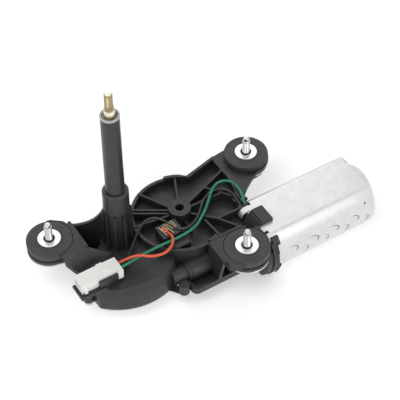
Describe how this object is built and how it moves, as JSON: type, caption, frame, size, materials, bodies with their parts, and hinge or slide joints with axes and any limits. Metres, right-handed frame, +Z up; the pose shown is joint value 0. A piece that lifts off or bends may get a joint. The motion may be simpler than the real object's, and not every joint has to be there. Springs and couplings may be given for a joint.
{
  "type": "rear wiper motor",
  "caption": "Rear wiper motor: a can motor drives a worm gear and sector linkage that swings a tall spindle; rubber mounted studs and a wired plug.",
  "frame": {"origin": "on the output spindle's axis, in the mounting plane through the top faces of the three mounting sleeves", "axes": "+Z up the output spindle, +X along the motor towards the closed end of its can, +Y towards the rear arm"},
  "size_m": [0.261, 0.1203, 0.19],
  "materials": {
    "housing_plastic": "glass-filled moulded plastic, black, satin",
    "tube_plastic": "moulded plastic, black, satin",
    "collar_plastic": "moulded plastic, charcoal, satin",
    "seal_plastic": "light grey plastic ring",
    "zinc_steel": "zinc plated sheet steel",
    "screw_steel": "zinc plated screws",
    "ground_steel": "ground steel",
    "gear_steel": "sintered and hardened steel",
    "bronze": "sintered bronze",
    "can_zinc": "bright spangled zinc coating",
    "ferrite": "grey ferrite",
    "spring_steel": "spring steel",
    "brown_plastic": "phenolic moulding",
    "carbon": "pressed carbon",
    "tinned_strip": "tinned strip",
    "brass_terminal": "stamped brass",
    "white_plastic": "natural white plastic",
    "white_plastic_gear": "natural acetal",
    "green_wire": "green insulation",
    "black_wire": "black insulation",
    "red_wire": "orange red insulation",
    "lamination_steel": "stacked laminations",
    "enamelled_copper": "enamelled copper wire",
    "commutator_copper": "drawn copper",
    "yellow_zinc": "yellow passivated zinc",
    "grommet_rubber": "black rubber, matt",
    "sleeve_zinc": "bright zinc plate",
    "stud_zinc": "bright zinc plate"
  },
  "bodies": {
    "housing": {"gear_housing": "housing_plastic", "bottom_cover": "zinc_steel", "cover_screws": "screw_steel", "wheel_axle": "ground_steel", "guide_tube": "tube_plastic", "tube_collar": "collar_plastic", "tube_seal": "seal_plastic", "output_bush_lower": "bronze", "output_bush_upper": "bronze", "motor_can": "can_zinc", "magnets": "ferrite", "magnet_clips": "spring_steel", "brush_holder": "brown_plastic", "brushes": "carbon", "brush_springs": "spring_steel", "rear_bearing": "bronze", "front_bearing": "bronze", "worm_end_bush": "bronze", "thrust_ball": "ground_steel", "contact_strips": "tinned_strip", "terminal_block": "housing_plastic", "crimp_terminals": "brass_terminal", "plug_housing": "white_plastic", "plug_terminals": "brass_terminal", "grommet_left": "grommet_rubber", "sleeve_left": "sleeve_zinc", "stud_left": "stud_zinc", "grommet_rear": "grommet_rubber", "sleeve_rear": "sleeve_zinc", "stud_rear": "stud_zinc", "grommet_front": "grommet_rubber", "sleeve_front": "sleeve_zinc", "stud_front": "stud_zinc", "wire_green": "green_wire", "wire_black_motor": "black_wire", "wire_black_plug": "black_wire", "wire_red": "red_wire"},
    "armature": {"armature_shaft": "ground_steel", "worm": "ground_steel", "armature_core": "lamination_steel", "windings": "enamelled_copper", "commutator": "commutator_copper"},
    "wheel": {"worm_wheel": "white_plastic_gear", "contact_disc": "brass_terminal"},
    "output": {"output_spindle": "yellow_zinc", "pinion": "gear_steel", "spindle_clip": "spring_steel", "spindle_washer": "spring_steel"},
    "swing": {"swing_plate": "zinc_steel", "pivot_pin": "ground_steel"},
    "rod": {"sector_rod": "gear_steel", "crank_pin": "ground_steel"}
  },
  "joints": [
    {"name": "armature_spin", "type": "hinge", "parent": "housing", "child": "armature", "pos_m": [0.1, -0.0435, -0.026], "axis": [1, 0, 0], "continuous": true},
    {"name": "wheel_spin", "type": "hinge", "parent": "housing", "child": "wheel", "pos_m": [0.0505, -0.0055, -0.026], "axis": [0, 0, 1], "continuous": true},
    {"name": "spindle_sweep", "type": "hinge", "parent": "housing", "child": "output", "pos_m": [0, 0, 0], "axis": [0, 0, 1], "range_deg": [0, 110]},
    {"name": "swing_plate_pivot", "type": "hinge", "parent": "housing", "child": "swing", "pos_m": [0, 0, -0.0223], "axis": [0, 0, 1], "range_deg": [0, 27.5]},
    {"name": "sector_pivot", "type": "hinge", "parent": "swing", "child": "rod", "pos_m": [-0.01363, -0.03332, -0.019], "axis": [0, 0, 1], "range_deg": [-27.5, 0]}
  ],
  "couplings": [
    {"joint": "wheel_spin", "follows": "armature_spin", "ratio": -0.015152},
    {"joint": "swing_plate_pivot", "follows": "spindle_sweep", "ratio": 0.25},
    {"joint": "sector_pivot", "follows": "spindle_sweep", "ratio": -0.25}
  ]
}
